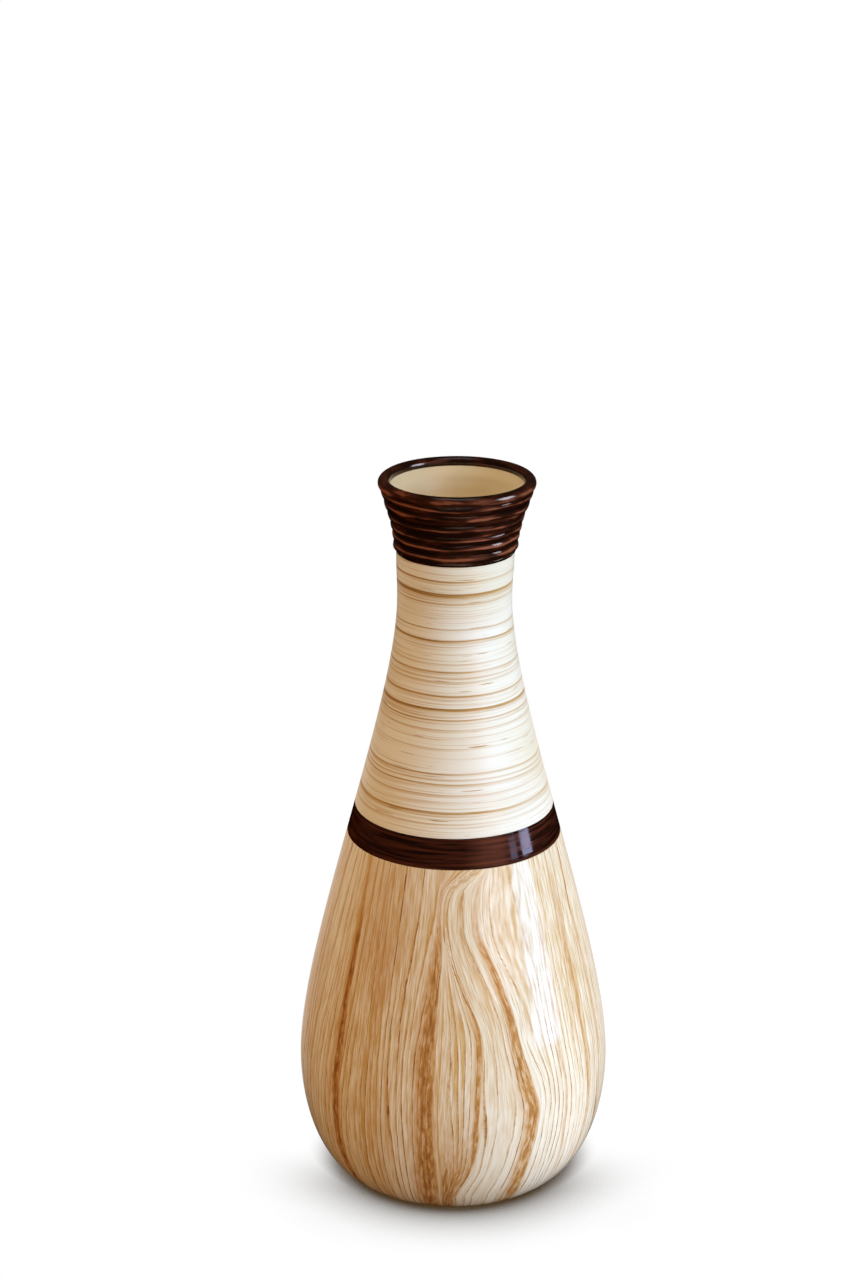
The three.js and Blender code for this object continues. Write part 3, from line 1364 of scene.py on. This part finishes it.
@dataclass
class Neck:
    """The thrown neck, with the socket over the bulb's spigot and the rebate behind the coils."""

    outline: Outline

    def section(self) -> list[Point]:
        """Draws the closed section, from the skirt up the outside and down the inside.

        Returns:
            Radius and height of its points.
        """
        outside = self.outline.curve()
        inside = self.outline.curve(WALL, COIL_REBATE + MOUTH_WALL, WALL)
        skirt = self.outline.joint + CLEARANCE
        socket = skirt + SPIGOT
        mouth = self.outline.mouth_height
        section = [
            *between(outside, skirt, self.outline.band_high, -BAND_DEPTH),
            *between(outside, self.outline.band_high, self.outline.collar_low),
            *between(outside, self.outline.collar_low, mouth, -COIL_REBATE),
            *reversed(between(inside, socket, mouth)),
            *reversed(between(inside, skirt, socket, SPIGOT_WALL + CLEARANCE)),
        ]
        return [*section, section[0]]

    def build(self) -> bpy.types.Object:
        """Builds the neck and dresses it.

        Returns:
            The finished neck.
        """
        turned = Turned(self.section())
        outside = self.outline.curve()
        rims = [(radius_at(outside, z), z) for z in (self.outline.band_high, self.outline.collar_low)]
        turned.round_edges(rims, RIM_ROUND)
        return turned.finish("neck_sleeve", [WoundLineGlaze().material()], "neck")


@dataclass
class WaistBand:
    """The dark band inlaid over the joint of bulb and neck."""

    outline: Outline
    seam: float = 0.02
    columns: int = 200

    def build(self) -> bpy.types.Object:
        """Builds the band, flush with the outline, and dresses it.

        Returns:
            The finished band.
        """
        outside = self.outline.curve()
        low, high = self.outline.band_low + self.seam, self.outline.band_high - self.seam
        face = between(outside, low, high)
        back = between(outside, low, high, CLEARANCE - BAND_DEPTH)
        turned = Turned([*face, *reversed(back), face[0]], self.columns)
        turned.round_edges([face[0], face[-1]], RIM_ROUND)
        return turned.finish("inlaid_band", [DarkBandGlaze().material()], "waist_band")


@dataclass
class Collar:
    """Six coils laid round the flare by hand, and the lip rolled over the mouth.

    The wobble of the coils comes in over a stretch at the collar's foot and goes again over one at the
    mouth, both counted in millimetres from there. The crest of a coil is given in shares of its
    height and lies on its upper slope, where its lighter glaze is partly painted top light, and the
    reach of the lip's crest in shares of its roll.
    """

    outline: Outline
    coils: int = 6
    coil_rows: int = 14
    proud: float = 0.95
    groove: float = 0.5
    fullness: float = 2.2
    first_rise: float = 0.5
    top_lit_crest_share: float = 0.74
    crest_reach: float = 0.115
    wobble: float = 0.5
    wobble_start: Point = (-0.5, 3.0)
    wobble_end: Point = (3.0, -1.0)
    swell: float = 0.2
    lip_roll: float = 1.95
    lip_rows: int = 28
    lip_sag: float = 0.12
    lip_crest_reach: float = 0.7
    lip_crest_height: float = 0.6
    columns: int = 200

    def lay(self, angle: float, radius: float, height: float) -> Point:
        """Moves a place on a coil as far as the potter's hand did.

        Args:
            angle: Angle round the axis, in radians.
            radius: Radius of the true coil.
            height: Its height.

        Returns:
            Radius and height of the coil as laid.
        """
        start, end = (self.outline.collar_low + each for each in self.wobble_start)
        last, top = (self.outline.mouth_height + each for each in self.wobble_end)
        fade = ease(start, end, height) * ease(last, top, height)
        out = self.swell * ripple(angle, height, waves=3.2, run=3.5, seed=7.7)
        up = self.wobble * ripple(angle, height, waves=1.7, run=7.0, seed=1.3)
        return radius + out, height + up * fade

    def coil(self, number: int, material: bpy.types.Material) -> bpy.types.Object:
        """Builds one coil between the grooves below and above it.

        Args:
            number: The coil's number, 1 for the lowest.
            material: The collar's glaze.

        Returns:
            The finished coil.
        """
        node = f"collar_coil_{number}"
        low_corner, high_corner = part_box(node)
        low, high = low_corner.z / MM - CLEARANCE / 2, high_corner.z / MM + CLEARANCE / 2
        outside = self.outline.curve()
        face: list[Point] = []
        for row in range(self.coil_rows + 1):
            share = row / self.coil_rows
            height = low + (high - low) * share
            bulge = self.proud - self.groove * abs(2 * share - 1) ** self.fullness
            if number == 1:
                bulge *= ease(0.0, self.first_rise, share)
            face.append((radius_at(outside, height) + bulge, height))
        back = [(radius_at(outside, height) - COIL_REBATE + CLEARANCE, height) for height in (high, low)]
        turned = Turned([*face, *back, face[0]], self.columns)
        layer = turned.mesh.verts.layers.float.new(CREST)
        for vert in turned.mesh.verts:
            share = (vert.co.z / MM - low) / (high - low)
            vert[layer] = math.exp(-(((share - self.top_lit_crest_share) / self.crest_reach) ** 2))
        turned.reshape(self.lay)
        return turned.finish(f"coil_ring_{number}", [material], node)

    def lip(self, material: bpy.types.Material) -> bpy.types.Object:
        """Builds the rolled lip, a round roll that sags a little here and there.

        Args:
            material: The collar's glaze.

        Returns:
            The finished lip.
        """
        low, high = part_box("rolled_lip")
        top, outer_edge = high.z / MM, high.x / MM
        centre = (outer_edge - self.lip_roll, top - self.lip_roll)
        seat = low.z / MM - CLEARANCE
        section: list[Point] = []
        for row in range(self.lip_rows):
            turn = math.tau * row / self.lip_rows
            height = max(seat, centre[1] + self.lip_roll * math.sin(turn))
            section.append((centre[0] + self.lip_roll * math.cos(turn), height))
        turned = Turned([*section, section[0]], self.columns)
        layer = turned.mesh.verts.layers.float.new(CREST)
        for vert in turned.mesh.verts:
            share = (vert.co.z / MM - centre[1]) / self.lip_roll
            outer = ease(centre[0], outer_edge, vert.co.xy.length / MM)
            near = math.exp(-((share / self.lip_crest_reach) ** 2))
            vert[layer] = self.lip_crest_height * outer * near

        def sag(angle: float, radius: float, height: float) -> Point:
            """Lets the roll sink and draw in by a share of the sag."""
            dip = (0.5 + 0.5 * ripple(angle, height, waves=1.4, run=30.0, seed=5.2)) * self.lip_sag
            return radius - dip, height - dip * ease(seat, top, height)

        turned.reshape(sag)
        return turned.finish("lip_roll", [material], "rolled_lip")

    def build(self) -> list[bpy.types.Object]:
        """Builds the coils, lowest first, and the lip.

        Returns:
            The finished coils and the lip.
        """
        material = BrownCoilGlaze().material()
        pieces = [self.coil(number, material) for number in range(1, self.coils + 1)]
        return [*pieces, self.lip(material)]


@dataclass
class Lining:
    """The cream glaze that lines the inside and turns out under the lip."""

    outline: Outline
    thickness: float = 0.8
    turn_out: float = 1.5
    turn_up: float = 0.9
    turn_height: float = 3.5

    def build(self) -> bpy.types.Object:
        """Builds the lining and dresses it.

        Returns:
            The finished lining.
        """
        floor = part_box("glaze_lining")[0].z / MM
        mouth = self.outline.mouth_height
        body_inset = WALL + CLEARANCE
        mouth_inset = COIL_REBATE + MOUTH_WALL + CLEARANCE
        top = floor + self.thickness
        back = self.outline.curve(body_inset, mouth_inset, floor)
        face = self.outline.curve(body_inset + self.thickness, mouth_inset + self.thickness, top)
        section = [
            (0.0, floor),
            *between(back, floor, mouth),
            *reversed(between(face, top, mouth)),
            (0.0, top),
        ]
        turned = Turned(section)

        def flare(angle: float, radius: float, height: float) -> Point:
            """Turns the upper edge out and up, under the lip."""
            share = ease(mouth - self.turn_height, mouth, height)
            return radius + self.turn_out * share * share, height + self.turn_up * share

        turned.reshape(flare)
        return turned.finish("inner_glaze", [LiningGlaze().material()], "glaze_lining")


# Studio


class LampJob(Enum):
    """What a lamp does for the picture."""

    LIGHT = "lights the surfaces"
    GLINT = "shows in the gloss"


def show_only_in(source: bpy.types.Object, names: Sequence[str]) -> None:
    """Lets the light of a lamp or a sheet reach only some pieces.

    Args:
        source: The lamp or the sheet.
        names: The pieces' names.
    """
    pieces = bpy.data.collections.new(f"{source.name}_pieces")
    for name in names:
        pieces.objects.link(bpy.data.objects[name])
    source.light_linking.receiver_collection = pieces


DAYLIGHT = "#a5d7ff"  # what the window throws on the vase
BOUNCE = "#eef1ff"  # what the table throws back
PANE = "#ccd0ff"  # the window as the band shows it
HIGH_PANE = "#e6e2f0"  # the window as the neck and the collar show it
SKY = "#96ccff"  # the sky as the bulb shows it
BULB = ("bulb",)
BAND = ("inlaid_band",)
LIP = ("lip_roll",)
UPPER = ("neck_sleeve", *(f"coil_ring_{number}" for number in range(1, 7)), *LIP)


@dataclass(frozen=True)
class Lamp:
    """A soft box: where it stands, what it faces, its size, and how bright its face is."""

    name: str
    place: Triple
    aim: Triple
    size: Point
    brightness: float
    colour: str
    job: LampJob
    shows_in: tuple[str, ...] = ()

    def build(self) -> None:
        """Makes the lamp. Brightness 1 is as bright as white paper in full light."""
        data = bpy.data.lights.new(self.name, "AREA")
        data.shape = "RECTANGLE"
        data.size, data.size_y = (side * MM for side in self.size)
        data.energy = self.brightness * math.pi * data.size * data.size_y
        data.color = linear(self.colour)[:3]
        lamp = bpy.data.objects.new(self.name, data)
        away = Vector(self.place) - Vector(self.aim)
        turn = away.to_track_quat("Z", "Y").to_matrix().to_4x4()
        lamp.matrix_world = Matrix.Translation(Vector(self.place) * MM) @ turn
        lamp.visible_camera = False
        lamp.visible_diffuse = self.job is LampJob.LIGHT
        lamp.visible_glossy = self.job is LampJob.GLINT
        bpy.context.scene.collection.objects.link(lamp)
        if self.shows_in:
            show_only_in(lamp, self.shows_in)


@dataclass(frozen=True)
class Studio:
    """The pale floor, the soft light and the camera.

    The camera's sizes are in pixels of the photograph, degrees and millimetres. The sides of the painted
    warm reflection and the pale back of the painted reflections are in degrees round the axis, and the
    back of the world is how far a direction points backwards.
    """

    photo_width: int = 853
    photo_height: int = 1280
    focal_pixels: float = 3059.2
    axis_pixel: float = 454.45
    pitch: float = 19.3656
    distance: float = 1014.8
    aim_height: float = 193.46
    sensor: float = 36.0
    clip: Point = (50.0, 40000.0)
    white: str = "#ffffff"
    front_light: str = "#ffddaf"
    back_light: str = "#fff2e4"
    light_levels: Point = (0.81, 1.3)
    world_back: Point = (-0.2, 0.9)
    floor_radius: float = 9000.0
    floor_bounce: str = "#9c8468"
    shadow: str = "#4a3820"
    shadow_reach: float = 65.0
    shadow_lean: float = 15.0
    shadow_samples: int = 16
    shadow_end: Point = (-26.0, 9.0)
    open_shares: Point = (0.27, 0.8)
    contact_reach: Point = (40.0, 53.0)
    curtain_radius: float = 420.0
    curtain_height: float = 1600.0
    reflection_inner_radius: float = 34.0
    table_height: float = 0.5
    table_edge: float = 70.0
    table_gap: float = 1.0
    stage_steps: int = 64
    # The curtain and table top glow and paint the reflections that only the gloss shows.
    sheet_level: float = 1.3
    dark: str = "#2e221b"
    pale: str = "#b9ada0"
    warm: str = "#ffa185"
    warm_start: Point = (10.0, 32.0)
    warm_end: Point = (50.0, 62.0)
    warm_heights: Point = (20.0, 80.0)
    pale_back: Point = (105.0, 150.0)
    lamps: tuple[Lamp, ...] = (
        Lamp("window", (890, -556, 300), (0, 0, 130), (750, 800), 7.3, DAYLIGHT, LampJob.LIGHT),
        Lamp("table_bounce", (205, -125, 3), (205, -125, 100), (320, 320), 0.95, BOUNCE, LampJob.LIGHT),
        Lamp("bulb_pane", (110, -62, 114), (0, -62, 114), (46, 132), 6.4, SKY, LampJob.GLINT, BULB),
        Lamp("narrow_pane", (110, -70, 130), (0, -70, 130), (18, 15), 2.6, PANE, LampJob.GLINT, BAND),
        Lamp("wide_pane", (110, -36, 130), (0, -36, 130), (24, 15), 8.0, PANE, LampJob.GLINT, BAND),
        Lamp("lip_pane", (260, -105, 325), (0, -105, 325), (90, 150), 12.0, HIGH_PANE, LampJob.GLINT, LIP),
        Lamp("upper_pane", (260, -65, 325), (0, -65, 325), (90, 120), 12.0, HIGH_PANE, LampJob.GLINT, UPPER),
    )

    def camera(self) -> None:
        """Makes the camera at the photograph's place and lens."""
        scene = bpy.context.scene
        data = bpy.data.cameras.new("camera")
        data.sensor_width = self.sensor
        data.lens = self.focal_pixels / self.photo_height * self.sensor
        data.clip_start, data.clip_end = (end * MM for end in self.clip)
        camera = bpy.data.objects.new("camera", data)
        pitch = math.radians(self.pitch)
        sideways = (self.photo_width / 2 - self.axis_pixel) / self.focal_pixels * self.distance
        back = -self.distance * math.cos(pitch)
        height = self.aim_height + self.distance * math.sin(pitch)
        camera.location = Vector((sideways, back, height)) * MM
        camera.rotation_euler = (math.pi / 2 - pitch, 0.0, 0.0)
        scene.collection.objects.link(camera)
        scene.camera = camera

    def world(self) -> None:
        """Makes the light from all round, warm and dim in front and paler behind, and a white background."""
        world = bpy.data.worlds.new("studio")
        bpy.context.scene.world = world
        bench = NodeBench(world)
        direction = bench.add(Kind.COORDINATES, out="Generated")
        back = bench.add(Kind.SPLIT, [direction], out="Y")
        back = bench.add(Kind.RANGE, [back, *self.world_back, 0.0, 1.0], **SMOOTH)
        lights = {"Factor": back, "A": self.front_light, "B": self.back_light}
        tint = bench.add(Kind.MIX, lights, **IN_COLOUR)
        level = bench.add(Kind.RANGE, [back, 0.0, 1.0, *self.light_levels])
        around = bench.add(Kind.BACKGROUND, {"Color": tint, "Strength": level})
        white = bench.add(Kind.BACKGROUND, {"Color": self.white, "Strength": 1.0})
        shown = bench.add(Kind.MIX_SHADER, [seen_ray(bench), around, white])
        bench.add(Kind.WORLD_OUTPUT, {"Surface": shown})

    def floor_shade(self, bench: NodeBench) -> Socket:
        """Finds the soft shadow on the floor, close to the foot all round and wider in front.

        Args:
            bench: The floor's nodes.

        Returns:
            How dark it is, from 0 to 1.
        """
        lean = math.radians(self.shadow_lean)
        towards_camera = bench.add(Kind.JOIN, [0.0, -math.sin(lean), math.cos(lean)])
        open_share = bench.add(
            Kind.OCCLUSION,
            {"Distance": self.shadow_reach * MM, "Normal": towards_camera},
            out="AO",
            samples=self.shadow_samples,
        )
        shade = bench.add(Kind.RANGE, [open_share, *self.open_shares, 1.0, 0.0])
        place = millimetres(bench)
        depth = bench.add(Kind.SPLIT, [place], out="Y")
        kept = bench.add(Kind.RANGE, [depth, *self.shadow_end, 1.0, 0.0], **SMOOTH)
        radius = bench.add(Kind.VECTOR, [place], out="Value", operation="LENGTH")
        contact = bench.add(Kind.RANGE, [radius, *self.contact_reach, 1.0, 0.0], **SMOOTH)
        kept = bench.add(Kind.MATH, [kept, contact], operation="MAXIMUM")
        return bench.add(Kind.MATH, [shade, kept], operation="MULTIPLY")

    def floor(self) -> None:
        """Makes the floor, white paper to the eye that throws a warm light back at the vase."""
        material = bpy.data.materials.new("white_paper")
        bench = NodeBench(material)
        tones = {"Factor": self.floor_shade(bench), "A": self.white, "B": self.shadow}
        paper = bench.add(Kind.MIX, tones, **IN_COLOUR)
        shown = bench.add(Kind.EMISSION, {"Color": paper, "Strength": 1.0})
        bounce = bench.add(Kind.DIFFUSE, {"Color": self.floor_bounce})
        surface = bench.add(Kind.MIX_SHADER, [seen_ray(bench), bounce, shown])
        bench.add(Kind.MATERIAL_OUTPUT, {"Surface": surface})
        mesh = bmesh.new()
        radius = self.floor_radius * MM
        bmesh.ops.create_circle(mesh, cap_ends=True, radius=radius, segments=self.stage_steps)
        floor = placed("floor", mesh, [material])

    def degrees_round(self, bench: NodeBench, place: Socket) -> Socket:
        """Finds the angle of a place round the axis.

        Args:
            bench: The sheet's nodes.
            place: Place on the sheet.

        Returns:
            The angle in degrees, from the front.
        """
        right = bench.add(Kind.SPLIT, [place], out="X")
        back = bench.add(Kind.SPLIT, [place], out="Y")
        front = bench.add(Kind.MATH, [back, -1.0], operation="MULTIPLY")
        turn = bench.add(Kind.MATH, [right, front], operation="ARCTAN2")
        return bench.add(Kind.MATH, [turn], operation="DEGREES")

    def curtain_colour(self, bench: NodeBench) -> Socket:
        """Colours the glowing curtain: painted dark reflections, and a painted warm reflection in front on
        the right.

        Args:
            bench: The curtain's nodes.

        Returns:
            The colour.
        """
        place = millimetres(bench)
        degrees = self.degrees_round(bench, place)
        warm = bench.add(Kind.RANGE, [degrees, *self.warm_start, 0.0, 1.0])
        fall = bench.add(Kind.RANGE, [degrees, *self.warm_end, 1.0, 0.0])
        height = bench.add(Kind.SPLIT, [place], out="Z")
        upright = bench.add(Kind.RANGE, [height, *self.warm_heights, 0.0, 1.0])
        for factor in (fall, upright):
            warm = bench.add(Kind.MATH, [warm, factor], operation="MULTIPLY")
        return bench.add(Kind.MIX, {"Factor": warm, "A": self.dark, "B": self.warm}, **IN_COLOUR)

    def table_colour(self, bench: NodeBench) -> Socket:
        """Colours the glowing table top: painted dark reflections, paler behind the vase.

        Args:
            bench: The table top's nodes.

        Returns:
            The colour.
        """
        degrees = self.degrees_round(bench, millimetres(bench))
        away = bench.add(Kind.MATH, [degrees], operation="ABSOLUTE")
        behind = bench.add(Kind.RANGE, [away, *self.pale_back, 0.0, 1.0], **SMOOTH)
        return bench.add(Kind.MIX, {"Factor": behind, "A": self.dark, "B": self.pale}, **IN_COLOUR)

    def sheet(
        self, name: str, corners: Sequence[Point], colour: Callable[[NodeBench], Socket]
    ) -> bpy.types.Object:
        """Spins a glowing sheet round the vase that only the gloss shows, as painted reflections.

        Args:
            name: The sheet's name.
            corners: Radius and height of the sheet's edges and folds.
            colour: Makes the nodes for its colour.

        Returns:
            The sheet.
        """
        material = bpy.data.materials.new(f"{name}_painted_reflection")
        bench = NodeBench(material)
        glow = bench.add(Kind.EMISSION, {"Color": colour(bench), "Strength": self.sheet_level})
        bench.add(Kind.MATERIAL_OUTPUT, {"Surface": glow})
        sheet = placed(name, spun(corners, self.stage_steps), [material])
        sheet.visible_camera = False
        sheet.visible_diffuse = False
        sheet.visible_shadow = False
        sheet.visible_transmission = False
        return sheet

    def surroundings(self) -> None:
        """Makes the curtain, and a table top turned up at its edge that only bulb and neck show: glowing
        sheets that paint reflections.
        """
        rim = self.curtain_radius
        self.sheet("curtain", [(rim, self.table_height), (rim, self.curtain_height)], self.curtain_colour)
        low, edge = self.table_height, rim - self.table_gap
        top = [(self.reflection_inner_radius, low), (edge, low), (edge, self.table_edge)]
        table = self.sheet("table_top", top, self.table_colour)
        show_only_in(table, ("bulb", "neck_sleeve"))

    def build(self) -> None:
        """Sets up the camera, the floor and the light."""
        bpy.context.scene.view_settings.view_transform = "Standard"
        self.camera()
        self.world()
        self.floor()
        self.surroundings()
        for lamp in self.lamps:
            lamp.build()


def main() -> None:
    """Builds the vase and the studio."""
    logging.basicConfig(level=logging.INFO, format="%(name)s: %(message)s")
    outline = Outline.from_frame()
    for part in (Bulb(outline), Neck(outline), WaistBand(outline), Collar(outline), Lining(outline)):
        part.build()
    Studio().build()


if __name__ == "__main__":
    main()
